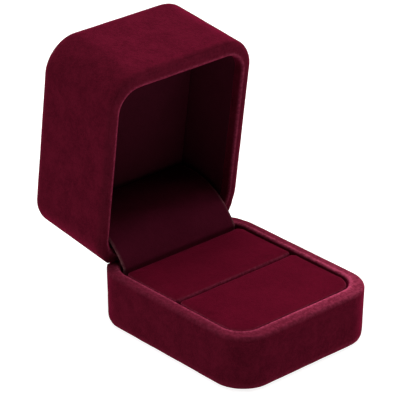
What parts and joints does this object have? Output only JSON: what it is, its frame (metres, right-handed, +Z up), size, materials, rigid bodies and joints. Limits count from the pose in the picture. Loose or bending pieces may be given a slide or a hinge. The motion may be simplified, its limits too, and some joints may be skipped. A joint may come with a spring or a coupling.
{
  "type": "ring box",
  "caption": "Hinged velvet ring box, open, with a rounded lid, a padded ring slot in the base and a fabric flap over the sprung hinge.",
  "frame": {"origin": "centre of the underside of the base, on the surface it stands on", "axes": "+X across the width along the hinge, +Y from the front towards the hinge and the open lid, +Z up"},
  "size_m": [0.052, 0.0869, 0.078],
  "materials": {
    "velvet": "matte",
    "velvet_lining": "matte",
    "velvet_pad": "matte",
    "velvet_flap": "matte",
    "bottom_panel": "matte",
    "shell_plastic": "matte",
    "card": "matte",
    "foam": "matte",
    "hinge_steel": "satin",
    "rivet_steel": "satin",
    "pin_steel": "polished",
    "spring_steel": "satin"
  },
  "bodies": {
    "base": {"base_shell": "shell_plastic", "base_velvet_cover": "velvet", "base_bottom_panel": "bottom_panel", "insert_card": "card", "rear_pad_foam": "foam", "rear_pad_velvet": "velvet_pad", "front_pad_foam": "foam", "front_pad_velvet": "velvet_pad", "base_hinge_leaf": "hinge_steel", "base_hinge_rivets": "rivet_steel", "hinge_pin": "pin_steel", "snap_spring": "spring_steel", "flap_velvet": "velvet_flap", "flap_card": "card"},
    "lid": {"lid_shell": "shell_plastic", "lid_velvet_cover": "velvet", "lid_wall_lining": "velvet_lining", "lid_top_lining": "velvet_lining", "lid_top_card": "card", "lid_top_foam": "foam", "lid_hinge_leaf": "hinge_steel", "lid_hinge_rivets": "rivet_steel"}
  },
  "joints": [
    {"name": "lid_hinge", "type": "hinge", "parent": "base", "child": "lid", "pos_m": [0, 0.02785, 0.01695], "axis": [1, 0, 0], "range_deg": [0, 82.8], "deforming": ["flap_velvet", "flap_card", "snap_spring"]}
  ]
}
